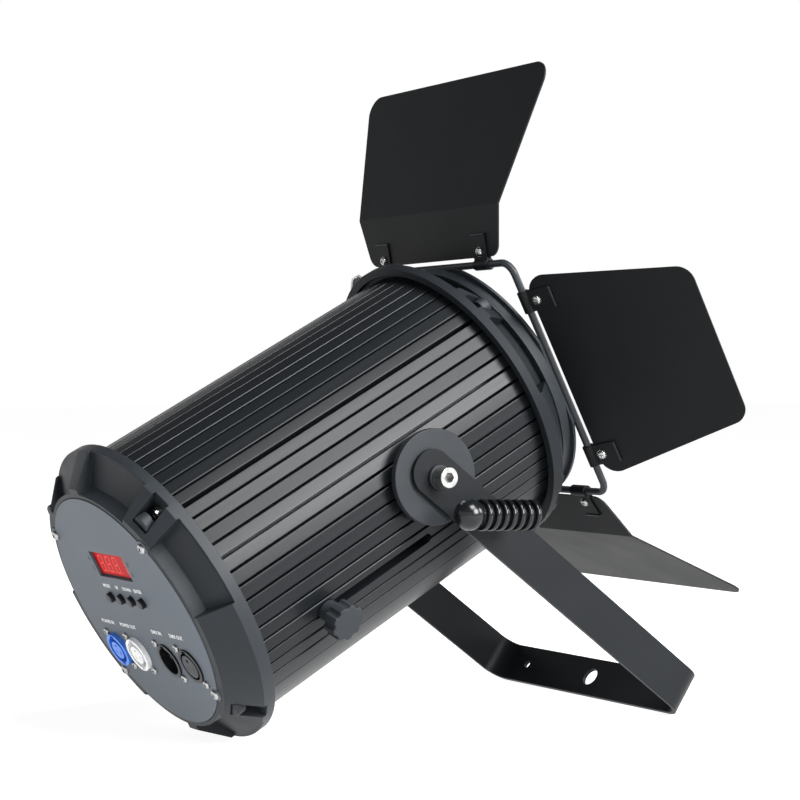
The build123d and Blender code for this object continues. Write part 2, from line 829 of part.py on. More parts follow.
spacer_x = yoke_half + fit_gap
head_x = spacer_x + 2.4
with BuildPart() as pivot_spacers:
    for side in (-1, 1):
        with BuildSketch(head_plane((side * spacer_x, 0, pivot_z), (side, 0, 0), (0, 1, 0))):
            Circle(8)
            Circle(bolt_r + fit_gap, mode=Mode.SUBTRACT)
        extrude(amount=2.4)
save("pivot_spacers", pivot_spacers)

with BuildPart() as pivot_bolts:
    for side in (-1, 1):
        with BuildSketch(head_plane((side * head_x, 0, pivot_z), (side, 0, 0), (0, 1, 0))):
            Circle(6.5)
        extrude(amount=9.6)
        with BuildSketch(head_plane((side * (head_x + 9.6), 0, pivot_z), (-side, 0, 0), (0, 1, 0))):
            RegularPolygon(3.5, 6)
        extrude(amount=5, mode=Mode.SUBTRACT)
        with BuildSketch(head_plane((side * head_x, 0, pivot_z), (-side, 0, 0), (0, 1, 0))):
            Circle(bolt_r)
        extrude(amount=head_x - shell_in_r - 1)
save("pivot_bolts", pivot_bolts)

# ---------------------------------------------------------------- yoke
with BuildPart() as yoke:
    with BuildSketch(yoke_plane(0, -yoke_w / 2, 0, (0, 1, 0), (1, 0, 0))):
        with BuildLine():
            strap = FilletPolyline(
                (-yoke_half, yoke_end),
                (-yoke_half, -yoke_len),
                (yoke_half, -yoke_len),
                (yoke_half, yoke_end),
                radius=yoke_bend_r,
            )
            inner = FilletPolyline(
                (yoke_half - yoke_t, yoke_end),
                (yoke_half - yoke_t, -yoke_len + yoke_t),
                (-yoke_half + yoke_t, -yoke_len + yoke_t),
                (-yoke_half + yoke_t, yoke_end),
                radius=yoke_bend_r - yoke_t,
            )
            Line((yoke_half, yoke_end), (yoke_half - yoke_t, yoke_end))
            Line((-yoke_half + yoke_t, yoke_end), (-yoke_half, yoke_end))
        make_face()
    extrude(amount=yoke_w)
    ends = yoke.edges().filter_by(Axis.X).group_by(Axis(pivot, (0, lean_c, lean_s)))[-1]
    fillet(ends, yoke_w / 2 - 1)
    with BuildSketch(yoke_plane(-yoke_half - 5, 0, 0, (1, 0, 0), (0, 1, 0))):
        Circle(bolt_r + fit_gap)
    extrude(amount=2 * yoke_half + 10, mode=Mode.SUBTRACT)
    with BuildSketch(yoke_plane(-yoke_half - 5, lever_n, lever_d, (1, 0, 0), (0, 1, 0))):
        Circle(bolt_r + fit_gap)
    extrude(amount=20, mode=Mode.SUBTRACT)
    with BuildSketch(yoke_plane(0, 0, yoke_len - 10, (0, 0, 1), (1, 0, 0))):
        Circle(hang_hole_r)
        with Locations((side_hole_x, 0), (-side_hole_x, 0)):
            Circle(side_hole_r)
    extrude(amount=20, mode=Mode.SUBTRACT)
save("yoke", yoke)

# ---------------------------------------------------------------- clamping lever
grip_n, grip_d = polar(1, grip_dir_deg)
grip_n, grip_d = grip_d, grip_n


def grip_plane(distance):
    """Plane across the lever's grip, at a distance from the hub's axis towards the ball."""
    at = (-grip_x, lever_n + grip_n * distance, lever_d + grip_d * distance)
    return yoke_plane(*at, (0, grip_n, grip_d), (1, 0, 0))


with BuildPart() as tilt_lever:
    with BuildSketch(grip_plane(-10.5)):
        Circle(grip_core_r)
    extrude(amount=grip_reach + 10.5)
    for number in range(7):
        with BuildSketch(grip_plane(grip_reach - 8.4 - disc_pitch * number - 3.4)):
            Circle(grip_r)
        extrude(amount=3.4)
    ball_plane = grip_plane(grip_reach)
    with BuildSketch(Plane(origin=ball_plane.origin, x_dir=ball_plane.x_dir, z_dir=ball_plane.y_dir)):
        Circle(grip_r - 0.2)
        with Locations((grip_r / 2, 0)):
            Rectangle(grip_r, 2 * grip_r, mode=Mode.SUBTRACT)
    revolve(axis=Axis(ball_plane.origin, ball_plane.z_dir))
    hub_x = yoke_half + 0.3
    with BuildSketch(yoke_plane(-hub_x, lever_n, lever_d, (-1, 0, 0), (0, 1, 0))):
        Circle(8.2)
    extrude(amount=grip_x - hub_x)
    with BuildSketch(yoke_plane(-hub_x, lever_n, lever_d, (-1, 0, 0), (0, 1, 0))):
        Circle(bolt_r)
    extrude(amount=14, mode=Mode.SUBTRACT)
save("tilt_lever", tilt_lever)

pad_in_x = boss_face + 1.2
with BuildPart() as tilt_lever_stud:
    with BuildSketch(yoke_plane(-(hub_x + 14), lever_n, lever_d, (1, 0, 0), (0, 1, 0))):
        Circle(bolt_r)
    extrude(amount=hub_x + 14 - pad_in_x)
save("tilt_lever_stud", tilt_lever_stud)

with BuildPart() as tilt_brake_pad:
    with BuildSketch(yoke_plane(-pad_in_x, lever_n, lever_d, (-1, 0, 0), (0, 1, 0))):
        Circle(8.3)
        Circle(bolt_r + fit_gap, mode=Mode.SUBTRACT)
    extrude(amount=yoke_half - yoke_t - pad_in_x)
save("tilt_brake_pad", tilt_brake_pad)
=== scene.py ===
import json
from math import atan2, cos, degrees, radians, sin

import bmesh
import bpy
from mathutils import Matrix, Vector


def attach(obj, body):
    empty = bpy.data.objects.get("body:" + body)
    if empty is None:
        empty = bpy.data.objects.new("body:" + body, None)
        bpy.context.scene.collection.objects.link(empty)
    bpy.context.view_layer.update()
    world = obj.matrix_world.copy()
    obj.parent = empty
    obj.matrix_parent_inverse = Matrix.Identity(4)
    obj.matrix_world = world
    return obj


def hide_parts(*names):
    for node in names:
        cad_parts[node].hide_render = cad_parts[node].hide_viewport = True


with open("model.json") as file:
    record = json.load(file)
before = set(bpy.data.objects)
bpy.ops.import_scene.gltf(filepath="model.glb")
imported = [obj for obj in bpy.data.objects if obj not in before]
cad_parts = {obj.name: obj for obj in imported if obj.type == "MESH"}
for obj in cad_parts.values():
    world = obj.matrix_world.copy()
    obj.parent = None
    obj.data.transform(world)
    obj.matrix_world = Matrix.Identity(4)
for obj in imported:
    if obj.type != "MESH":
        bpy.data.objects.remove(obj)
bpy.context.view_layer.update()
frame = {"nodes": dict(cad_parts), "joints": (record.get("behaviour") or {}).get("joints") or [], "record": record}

# Zoom par lantern on a flat yoke. Sizes are millimetres times MM, in metres.
# Head pieces are drawn in the head's frame: x to the lantern's left, y up, z along the beam
# from the rear panel's face. Yoke pieces use x, n (off the strap's edge) and d (along the arm).

MM = 0.001

# housing: radius over the fins, slots round it, plain stretch underneath with two grooves
FIN_R = 99 * MM
SHELL_IN_R = 80 * MM
SLOT_COUNT = 62
SLOT_PITCH = 360 / SLOT_COUNT
SLOT_DEPTH, SLOT_HALF, SLOT_LIP = 16 * MM, 0.65 * MM, 0.75 * MM
WIDE_SLOT_DEG, WIDE_SLOT_HALF = 24 * SLOT_PITCH, 1.4 * MM
SMOOTH_FROM, SMOOTH_TO = -144, -36
GROOVE_DEGS, GROOVE = (-43, -137), 0.9 * MM
BODY_Z0, BODY_Z1 = 22 * MM, 278.6 * MM
HEAD_LEN = 300.6 * MM
PIVOT_Z = 181.2 * MM
BOSS_R, BOSS_FOOT, BOSS_FACE = 19 * MM, 82 * MM, 103.05 * MM
KNOB_DEG, KNOB_Z = 202.5, 80 * MM
ZOOM_SLOT_R, ZOOM_SLOT_TRAVEL = 3.5 * MM, 86 * MM

# rear face
LOBES = [(s * 63.63 * MM, t * 52.48 * MM) for s in (-1, 1) for t in (-1, 1)]
DISPLAY_V, DISPLAY_W, DISPLAY_H = 34 * MM, 48 * MM, 18.5 * MM
DISPLAY_DEPTH = 2.4 * MM
SOCKET_US = (-52.0, -23.2, 19.2, 48.4)
SOCKET_V = -34.0
SOCKET_SCREW_U, SOCKET_SCREW_V = 9.5, 12.0
RING_BOSS_AT, RING_BOSS_R = 92.5 * MM, 6.2 * MM
RING_BOSS_ZS = ((4.5, 11.5), (289.1, 296.1))

# barn doors: square hoop, clips and, for each leaf, the side it is on and how far it is open
WIRE_R, WIRE_HALF, WIRE_CORNER, WIRE_Z = 2.5 * MM, 88.4 * MM, 9 * MM, 312.2 * MM
BEAD_R, BEAD_AT = 2.4 * MM, 27 * MM
CLIP_AT, CLIP_W, CLIP_T = 59 * MM, 15 * MM, 1.2 * MM
CLIP_SCREW_X, CLIP_LIP_X = 9 * MM, 20.9 * MM
LEAF_T = 1.2 * MM
LEAVES = {"top": (90, 72), "bottom": (270, 80), "left": (0, 66), "right": (180, 66)}

# clamping lever
LEVER_N, LEVER_D, LEVER_X = 6.5 * MM, 50 * MM, 135 * MM
LEVER_TURN = radians(214)
HUB_R, HUB_FOOT = 8.2 * MM, 111.3 * MM

# ---------------------------------------------------------------- frames
joints = {joint["name"]: joint for joint in frame["joints"]}
mounts = {mount["name"]: mount for mount in frame["record"]["mounts"]}
LEFT = Vector((1, 0, 0))
BEAM = Vector(joints["fan_spin"]["axis"]).normalized()
UP = BEAM.cross(LEFT)
PIVOT = Vector(joints["head_tilt"]["pos_m"])
ARM = Vector(mounts["hanging_hole"]["axis"]).normalized()


def axes(origin, x, y, z):
    """A frame from its origin and its three unit directions."""
    return Matrix.Translation(origin) @ Matrix((x, y, z)).transposed().to_4x4()


HEAD = axes(PIVOT - BEAM * PIVOT_Z, LEFT, UP, BEAM)
YOKE = axes(PIVOT, LEFT, ARM.cross(LEFT), ARM)
# the rear face as it is read from behind: u to the reader's right, v up, out of the panel
REAR = HEAD @ axes(Vector((0, 0, 0)), Vector((-1, 0, 0)), Vector((0, 1, 0)), Vector((0, 0, -1)))


def polar(radius, deg):
    """A point of the head's cross section."""
    return Vector((radius * cos(radians(deg)), radius * sin(radians(deg)), 0))


def radial(deg, radius, z):
    """Frame on the head's side: x along the beam, z outwards."""
    out = polar(1, deg)
    beam = Vector((0, 0, 1))
    return HEAD @ axes(out * radius + beam * z, beam, out.cross(beam), out)


def leaf_frame(side):
    """Frame of a barn door leaf: x out from the hinge wire, y along it, z off its outer face."""
    side_deg, open_deg = LEAVES[side]
    sideways = polar(1, side_deg)
    opened = radians(open_deg)
    beam = Vector((0, 0, 1))
    out = sideways * sin(opened) + beam * cos(opened)
    face = sideways * cos(opened) - beam * sin(opened)
    return HEAD @ axes(sideways * WIRE_HALF + beam * WIRE_Z, out, face.cross(out), face)


# ---------------------------------------------------------------- bench work
def only(piece):
    """Make one piece the only selected one."""
    bpy.ops.object.select_all(action="DESELECT")
    piece.select_set(True)
    bpy.context.view_layer.objects.active = piece
    return piece


def apply_all(piece):
    """Apply every modifier of a piece."""
    only(piece)
    for modifier in list(piece.modifiers):
        bpy.ops.object.modifier_apply(modifier=modifier.name)
    return piece


def set_in(piece, place=HEAD):
    """Put a piece's own place and its frame into its mesh."""
    only(piece)
    bpy.ops.object.transform_apply(location=True, rotation=True, scale=True)
    piece.data.transform(place)
    piece.data.update()
    return piece


def soften(piece, width, segments=2, angle=35):
    """Round the sharp edges of a piece."""
    bevel = piece.modifiers.new("soften", "BEVEL")
    bevel.width = width
    bevel.segments = segments
    bevel.limit_method = "ANGLE"
    bevel.angle_limit = radians(angle)
    bevel.miter_outer = "MITER_ARC"
    return apply_all(piece)


def cut(piece, cutter):
    """Cut one solid out of another."""
    boolean = piece.modifiers.new("cut", "BOOLEAN")
    boolean.operation = "DIFFERENCE"
    boolean.solver = "EXACT"
    boolean.object = cutter
    apply_all(piece)
    bpy.data.objects.remove(cutter)
    return piece


def join(pieces):
    """Join pieces that are made in one frame."""
    bpy.ops.object.select_all(action="DESELECT")
    for piece in pieces:
        piece.select_set(True)
    bpy.context.view_layer.objects.active = pieces[0]
    bpy.ops.object.join()
    return pieces[0]


def copy_at(piece, place):
    """A copy with its own mesh, moved by a matrix in the piece's own frame."""
    twin = piece.copy()
    twin.data = piece.data.copy()
    bpy.context.collection.objects.link(twin)
    twin.data.transform(place)
    return twin


def copies_at(piece, places):
    """Copies of one piece at several places, joined, without the original."""
    made = [copy_at(piece, place) for place in places]
    bpy.data.objects.remove(piece)
    return join(made)


def hand_over(piece, name, body, surface, stands_for=(), smooth=35):
    """Name a finished piece, shade it, give it its finish and let it ride on its body."""
    piece.name = name
    piece.data.name = name
    only(piece)
    bpy.ops.object.shade_smooth_by_angle(angle=radians(smooth))
    even = piece.modifiers.new("even", "WEIGHTED_NORMAL")
    even.keep_sharp = True
    even.weight = 100
    apply_all(piece)
    piece.data.materials.clear()
    piece.data.materials.append(surface)
    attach(piece, body)
    if stands_for:
        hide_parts(*stands_for)
    return piece


def drum(radius, z0, z1, sides=64, at=(0, 0)):
    """A round bar along z."""
    bpy.ops.mesh.primitive_cylinder_add(
        vertices=sides, radius=radius, depth=z1 - z0, location=(at[0], at[1], (z0 + z1) / 2)
    )
    return set_in(bpy.context.object, Matrix.Identity(4))


def block(size, at=(0, 0, 0)):
    """A block with its centre at a point."""
    bpy.ops.mesh.primitive_cube_add(size=1, location=at)
    bpy.context.object.scale = size
    return set_in(bpy.context.object, Matrix.Identity(4))


def pick(kind, test):
    """Select the faces, edges or vertices in edit mode that pass a test.

    The test gets the centre and, for a face, its normal, or else the edge or vertex itself.
    """
    mesh = bmesh.from_edit_mesh(bpy.context.object.data)
    bpy.ops.mesh.select_mode(type=kind)
    bpy.ops.mesh.select_all(action="DESELECT")
    if kind == "FACE":
        for face in mesh.faces:
            face.select_set(test(face.calc_center_median(), face.normal))
    elif kind == "EDGE":
        for edge in mesh.edges:
            edge.select_set(test((edge.verts[0].co + edge.verts[1].co) / 2, edge))
    else:
        for vert in mesh.verts:
            vert.select_set(test(vert.co, vert))
    bmesh.update_edit_mesh(bpy.context.object.data)


def rounded_copy(node, width, merge=0.03 * MM, flat=1.5, segments=2, angle=35):
    """A CAD node's shape with clean faces and rounded edges."""
    source = frame["nodes"][node]
    piece = bpy.data.objects.new(node + "_finished", source.data.copy())
    bpy.context.collection.objects.link(piece)
    only(piece)
    bpy.ops.object.mode_set(mode="EDIT")
    bpy.ops.mesh.select_mode(type="VERT")
    bpy.ops.mesh.select_all(action="SELECT")
    bpy.ops.mesh.remove_doubles(threshold=merge)
    bpy.ops.mesh.dissolve_limited(angle_limit=radians(flat))
    bpy.ops.object.mode_set(mode="OBJECT")
    return soften(piece, width, segments, angle)


# ---------------------------------------------------------------- finishes
def finish(
    name,
    dark,
    light,
    rough,
    metallic=0.0,
    blotch=30.0,
    grain=1500.0,
    bump=0.15,
    depth=0.00008,
    stretch=1.0,
    ior=1.5,
):
    """A surface with uneven colour and gloss from a soft noise, and a fine grain as bump.

    dark and light are the two colours, rough the lowest and highest roughness, blotch and grain
    how fine the two noises are, bump and depth the grain's strength and height, and stretch
    draws the soft noise out along the beam, as an extrusion or a brush does.
    """
    material = bpy.data.materials.new(name)
    material.use_nodes = True
    tree = material.node_tree
    bsdf = tree.nodes["Principled BSDF"]
    bsdf.inputs["Metallic"].default_value = metallic
    bsdf.inputs["IOR"].default_value = ior
    where = tree.nodes.new("ShaderNodeTexCoord")
    drawn = tree.nodes.new("ShaderNodeMapping")
    drawn.vector_type = "TEXTURE"
    drawn.inputs["Rotation"].default_value = HEAD.to_euler()
    drawn.inputs["Scale"].default_value = (1, 1, stretch)
    soft = tree.nodes.new("ShaderNodeTexNoise")
    soft.inputs["Scale"].default_value = blotch
    soft.inputs["Detail"].default_value = 5
    colour = tree.nodes.new("ShaderNodeMix")
    colour.data_type = "RGBA"
    colour.inputs[6].default_value = (*dark, 1)
    colour.inputs[7].default_value = (*light, 1)
    gloss = tree.nodes.new("ShaderNodeMapRange")
    gloss.inputs["From Min"].default_value = 0.3
    gloss.inputs["From Max"].default_value = 0.7
    gloss.inputs["To Min"].default_value = rough[0]
    gloss.inputs["To Max"].default_value = rough[1]
    fine = tree.nodes.new("ShaderNodeTexNoise")
    fine.inputs["Scale"].default_value = grain
    fine.inputs["Detail"].default_value = 3
    relief = tree.nodes.new("ShaderNodeBump")
    relief.inputs["Strength"].default_value = bump
    relief.inputs["Distance"].default_value = depth
    wire = tree.links.new
    wire(where.outputs["Object"], drawn.inputs["Vector"])
    wire(drawn.outputs["Vector"], soft.inputs["Vector"])
    wire(soft.outputs["Fac"], colour.inputs[0])
    wire(colour.outputs[2], bsdf.inputs["Base Color"])
    wire(soft.outputs["Fac"], gloss.inputs["Value"])
    wire(gloss.outputs["Result"], bsdf.inputs["Roughness"])
    wire(where.outputs["Object"], fine.inputs["Vector"])
    wire(fine.outputs["Fac"], relief.inputs["Height"])
    wire(relief.outputs["Normal"], bsdf.inputs["Normal"])
    return material


def glowing(name, colour, strength, base):
    """Lit plastic with faint mottling."""
    material = finish(name, base, base, (0.25, 0.35), grain=400, bump=0.02, ior=1.12)
    bsdf = material.node_tree.nodes["Principled BSDF"]
    bsdf.inputs["Emission Color"].default_value = (*colour, 1)
    bsdf.inputs["Emission Strength"].default_value = strength
    return material


def glass(name):
    """Clear lens glass with a trace of dust."""
    material = finish(name, (0.9, 0.93, 0.95), (0.96, 0.98, 1.0), (0.0, 0.04), grain=300, bump=0.01)
    material.node_tree.nodes["Principled BSDF"].inputs["Transmission Weight"].default_value = 1.0
    return material


def blue_black(low, high):
    """Two near-black tones that lean slightly to blue."""
    return [(0.84 * tone, tone, 1.18 * tone) for tone in (low, high)]


extruded = finish(
    "extruded_housing", *blue_black(0.006, 0.009), rough=(0.28, 0.36),
    blotch=260, grain=2600, bump=0.1, stretch=60, ior=1.27,
)
cast = finish(
    "cast_ring", *blue_black(0.016, 0.024), rough=(0.4, 0.5),
    blotch=35, grain=1700, bump=0.35, depth=0.12 * MM, ior=1.28,
)
# painted shade: the front ring is the same casting as the rear ring, but its paint is a darker, less shiny copy of
# the rear ring's, to tone down the light it catches
front_cast_painted_shade = finish(
    "front_cast_ring", *blue_black(0.01, 0.016), rough=(0.46, 0.56),
    blotch=35, grain=1700, bump=0.35, depth=0.12 * MM, ior=1.18,
)
panel_paint = finish(
    "panel_paint", *blue_black(0.1, 0.118), rough=(0.45, 0.52), blotch=22, grain=2400, bump=0.12, ior=1.3
)
sheet_paint = finish(
    "sheet_paint", *blue_black(0.004, 0.006), rough=(0.45, 0.55), blotch=14, grain=2600, bump=0.2, ior=1.22
)
# painted light: the flange and the accessory holder are black sheet like the leaves, but their paint is made
# several times lighter to stand in for light on their forward-facing faces
flange_paint_painted_light = finish(
    "flange_paint_painted_light", *blue_black(0.024, 0.032), rough=(0.42, 0.52), blotch=14, grain=2600, bump=0.2, ior=1.3
)
yoke_paint = finish(
    "yoke_paint", *blue_black(0.006, 0.009), rough=(0.36, 0.44), blotch=18, grain=2300, bump=0.22, ior=1.24
)
wire_paint = finish(
    "wire_paint", *blue_black(0.012, 0.02), rough=(0.35, 0.5), blotch=60, grain=1500, bump=0.2, ior=1.36
)
washer_nylon = finish(
    "washer_nylon", *blue_black(0.014, 0.02), rough=(0.45, 0.56), blotch=40, grain=1200, bump=0.15, ior=1.32
)
lever_plastic = finish(
    "lever_plastic", *blue_black(0.004, 0.007), rough=(0.14, 0.24),
    blotch=50, grain=500, bump=0.03, ior=1.42,
)
knob_plastic = finish(
    "knob_plastic", *blue_black(0.016, 0.026), rough=(0.45, 0.6), blotch=90, grain=1800, bump=0.25, ior=1.28
)
button_rubber = finish(
    "button_rubber", *blue_black(0.006, 0.01), rough=(0.3, 0.4), blotch=80, grain=900, bump=0.05, ior=1.35
)
steel = finish(
    "turned_steel", (0.34, 0.34, 0.34), (0.52, 0.52, 0.51), rough=(0.18, 0.34),
    metallic=1.0, blotch=220, grain=900, bump=0.1,
)
bolt_steel = finish(
    "bolt_steel", (0.3, 0.3, 0.3), (0.42, 0.42, 0.41), rough=(0.28, 0.42),
    metallic=1.0, blotch=220, grain=900, bump=0.1,
)
dark_steel = finish(
    "latch_steel", (0.3, 0.3, 0.31), (0.45, 0.45, 0.46), rough=(0.3, 0.45),
    metallic=1.0, blotch=120, grain=900, bump=0.1,
)
blue_plastic = finish(
    "socket_blue", (0.03, 0.14, 0.6), (0.06, 0.25, 0.85), rough=(0.25, 0.35),
    blotch=120, grain=800, bump=0.03,
)
white_plastic = finish(
    "socket_white", (0.78, 0.79, 0.8), (0.88, 0.88, 0.88), rough=(0.3, 0.4),
    blotch=120, grain=800, bump=0.03,
)
black_plastic = finish(
    "socket_black", *blue_black(0.006, 0.01), rough=(0.25, 0.4), blotch=120, grain=800, bump=0.05, ior=1.36
)
grey_plastic = finish(
    "socket_grey", *blue_black(0.02, 0.03), rough=(0.35, 0.5), blotch=120, grain=800, bump=0.05, ior=1.4
)
ink = finish(
    "label_ink", (0.7, 0.7, 0.7), (0.85, 0.85, 0.85), rough=(0.5, 0.6), blotch=300, grain=900, bump=0.02
)
contact = finish(
    "contact_metal", (0.6, 0.5, 0.3), (0.8, 0.7, 0.5), rough=(0.2, 0.3),
    metallic=1.0, blotch=200, grain=900, bump=0.05,
)
board = finish(
    "board_lacquer", (0.01, 0.09, 0.04), (0.02, 0.14, 0.06), rough=(0.25, 0.4),
    blotch=300, grain=900, bump=0.1,
)
bare_aluminium = finish(
    "bare_aluminium", (0.6, 0.6, 0.61), (0.75, 0.75, 0.76), rough=(0.25, 0.4),
    metallic=1.0, blotch=200, grain=900, bump=0.1,
)
phosphor = finish(
    "light_phosphor", (0.85, 0.65, 0.1), (0.95, 0.78, 0.2), rough=(0.3, 0.4),
    blotch=900, grain=900, bump=0.1,
)
lens_glass = glass("lens_glass")
display_glow = glowing("display_glow", (0.4, 0.003, 0.004), 1.0, (0.06, 0.004, 0.004))
digit_glow = glowing("digit_glow", (0.8, 0.06, 0.05), 1.0, (0.1, 0.01, 0.01))


# ---------------------------------------------------------------- housing
def degrees_round(point):
    """Angle of a point round the beam."""
    return degrees(atan2(point.y, point.x))


def off_slot(point):
    """How far a point lies from the nearest slot's middle, in slot pitches."""
    turn = degrees_round(point) / SLOT_PITCH
    return abs(turn - round(turn))


def make_housing():
    """Extruded housing: flat plates between deep slots with rounded lips, plain underneath with
    two grooves, the optics' bore, the zoom slot and the pivot bosses."""
    bpy.ops.mesh.primitive_cylinder_add(
        vertices=SLOT_COUNT,
        radius=FIN_R,
        depth=BODY_Z1 - BODY_Z0,
        end_fill_type="NOTHING",
        location=(0, 0, (BODY_Z0 + BODY_Z1) / 2),
        rotation=(0, 0, radians(SLOT_PITCH / 2)),
    )
    piece = set_in(bpy.context.object, Matrix.Identity(4))
    only(piece)

    def upright(edge):
        return abs(edge.verts[0].co.z - edge.verts[1].co.z) > MM

    def corner(middle, edge, wide):
        deg = degrees_round(middle)
        slotted = not SMOOTH_FROM < deg < SMOOTH_TO
        return upright(edge) and slotted and (abs(deg - WIDE_SLOT_DEG) < 1) == wide

    bpy.ops.object.mode_set(mode="EDIT")
    for wide, half in ((False, SLOT_HALF), (True, WIDE_SLOT_HALF)):
        pick("EDGE", lambda middle, edge: corner(middle, edge, wide) and off_slot(middle) < 0.01)
        bpy.ops.mesh.bevel(offset=half, segments=1)
    pick("FACE", lambda centre, normal: off_slot(centre) < 0.05)
    bpy.ops.mesh.inset(thickness=0, depth=-SLOT_DEPTH, use_individual=True)
    pick("FACE", lambda centre, normal: abs(normal.z) > 0.9)
    bpy.ops.mesh.delete(type="FACE")
    for z in (BODY_Z0, BODY_Z1):
        pick("EDGE", lambda middle, edge: edge.is_boundary and abs(middle.z - z) < 0.1 * MM)
        bpy.ops.mesh.edge_face_add()
    pick(
        "EDGE",
        lambda middle, edge: upright(edge) and middle.xy.length > FIN_R * 0.985 and off_slot(middle) > 0.02,
    )
    bpy.ops.mesh.bevel(offset=SLOT_LIP, segments=4)
    bpy.ops.mesh.select_all(action="SELECT")
    bpy.ops.mesh.normals_make_consistent(inside=False)
    bpy.ops.object.mode_set(mode="OBJECT")
    cut(piece, drum(SHELL_IN_R, BODY_Z0 - MM, BODY_Z1 + MM, 128))
    for deg in GROOVE_DEGS:
        groove = block((GROOVE, GROOVE, 2 * HEAD_LEN), polar(FIN_R, deg))
        cut(piece, groove)
    set_in(piece)

    through, wall_r = 25 * MM, 90 * MM
    slot = drum(ZOOM_SLOT_R, -through, through, 32)
    only(slot)
    bpy.ops.object.mode_set(mode="EDIT")
    pick("VERT", lambda co, vert: co.x > 0)
    bpy.ops.transform.translate(value=(ZOOM_SLOT_TRAVEL, 0, 0))
    bpy.ops.object.mode_set(mode="OBJECT")
    set_in(slot, radial(KNOB_DEG, wall_r, KNOB_Z))
    cut(piece, slot)

    bosses = []
    for deg in (0, 180):
        boss = drum(BOSS_R, BOSS_FOOT, BOSS_FACE, 96)
        soften(boss, 0.6 * MM)
        bosses.append(set_in(boss, radial(deg, 0, PIVOT_Z)))
    piece = join([piece, *bosses])
    hand_over(piece, "finned_housing", "head", extruded, ["body_housing"], 12)


make_housing()

# ---------------------------------------------------------------- CAD shapes with rounded edges
# node: body, rounding in millimetres, finish, slot
ROUNDED = {
    "rear_ring": ("head", 0.7, cast, "cast_black"),
    "front_ring": ("head", 0.7, front_cast_painted_shade, "cast_black"),
    "rear_panel": ("head", 0.25, panel_paint, "panel_grey"),
    "rear_ring_screws": ("head", 0.35, steel, "screw_steel"),
    "front_ring_screws": ("head", 0.35, steel, "screw_steel"),
    "power_in": ("head", 0.35, blue_plastic, "socket_blue"),
    "power_out": ("head", 0.35, white_plastic, "socket_white"),
    "dmx_in": ("head", 0.35, black_plastic, "socket_black"),
    "dmx_out": ("head", 0.35, black_plastic, "socket_black"),
    "accessory_holder": ("head", 0.3, flange_paint_painted_light, "holder_black"),
    "safety_latch": ("head", 0.3, dark_steel, "latch_steel"),
    "friction_discs": ("head", 0.7, washer_nylon, "disc_black"),
    "pivot_spacers": ("head", 0.6, washer_nylon, "spacer_black"),
    "pivot_bolts": ("head", 0.6, bolt_steel, "bolt_steel"),
    "zoom_knob": ("zoom_knob", 0.7, knob_plastic, "knob_black"),
    "barn_flange": ("barn_doors", 0.3, flange_paint_painted_light, "sheet_black"),
    "yoke": ("yoke", 0.5, yoke_paint, "yoke_black"),
    "tilt_brake_pad": ("yoke", 0.4, washer_nylon, "disc_black"),
}
for side in LEAVES:
    ROUNDED[f"leaf_{side}"] = (f"leaf_{side}", 0.3, sheet_paint, "sheet_black")
    ROUNDED[f"leaf_{side}_clips"] = (f"leaf_{side}", 0.25, sheet_paint, "sheet_black")
for node, (body, width, surface, slot_name) in ROUNDED.items():
    piece = rounded_copy(node, width * MM)
    hand_over(piece, node + "_finished", body, surface, [node])

# ---------------------------------------------------------------- CAD shapes that only need a finish
DRESSED = {
    "display_module": black_plastic,
    "control_board": board,
    "dmx_in_pins": contact,
    "power_supply": bare_aluminium,
    "fan_frame": black_plastic,
    "fan_rotor": black_plastic,
    "led_plate": bare_aluminium,
    "led_board": board,
    "led_emitter": phosphor,
    "guide_rods": steel,
    "rod_ring": bare_aluminium,
    "zoom_carriage": wire_paint,
    "zoom_lens": lens_glass,
    "zoom_stud": steel,
    "front_lens": lens_glass,
    "lens_retainer": wire_paint,
    "tilt_lever_stud": steel,
    "display_window": display_glow,
}
for number in range(1, 5):
    DRESSED[f"button_{number}"] = button_rubber
for node, surface in DRESSED.items():
    mesh = frame["nodes"][node].data
    mesh.materials.clear()
    mesh.materials.append(surface)


# ---------------------------------------------------------------- screws
def cross_screw(radius, height, recess):
    """Pan head with a cross recess, its underside at z = 0."""
    head = drum(radius, 0, height, 32)
    only(head)
    bpy.ops.object.mode_set(mode="EDIT")
    pick("EDGE", lambda middle, edge: middle.z > height * 0.99 and middle.xy.length > radius * 0.9)
    bpy.ops.mesh.bevel(offset=height * 0.7, segments=5)
    bpy.ops.object.mode_set(mode="OBJECT")
    for turn in (0, 90):
        bar = block((recess, recess * 0.22, height), (0, 0, height * 1.02))
        bar.data.transform(Matrix.Rotation(radians(turn), 4, "Z"))
        cut(head, bar)
    return head


panel_screw = cross_screw(radius=3.4 * MM, height=2.2 * MM, recess=4.0 * MM)
tightened = Matrix.Rotation(radians(35), 4, "Z")
places = [Matrix.Translation((x, y, 0)) @ tightened for x, y in LOBES]
panel_screws = set_in(copies_at(panel_screw, places), REAR)
hand_over(panel_screws, "panel_cross_screws", "head", steel, ["panel_screws"], 50)

socket_screw = cross_screw(radius=2.7 * MM, height=1.7 * MM, recess=3.3 * MM)
places = []
for u in SOCKET_US:
    for sense in (-1, 1):
        screw_u, screw_v = u + sense * SOCKET_SCREW_U, SOCKET_V - sense * SOCKET_SCREW_V
        at = Matrix.Translation((screw_u * MM, screw_v * MM, 0))
        places.append(at @ Matrix.Rotation(radians(20 + u), 4, "Z"))
socket_screws = set_in(copies_at(socket_screw, places), REAR)
hand_over(socket_screws, "socket_cross_screws", "head", steel, ["socket_screws"], 50)


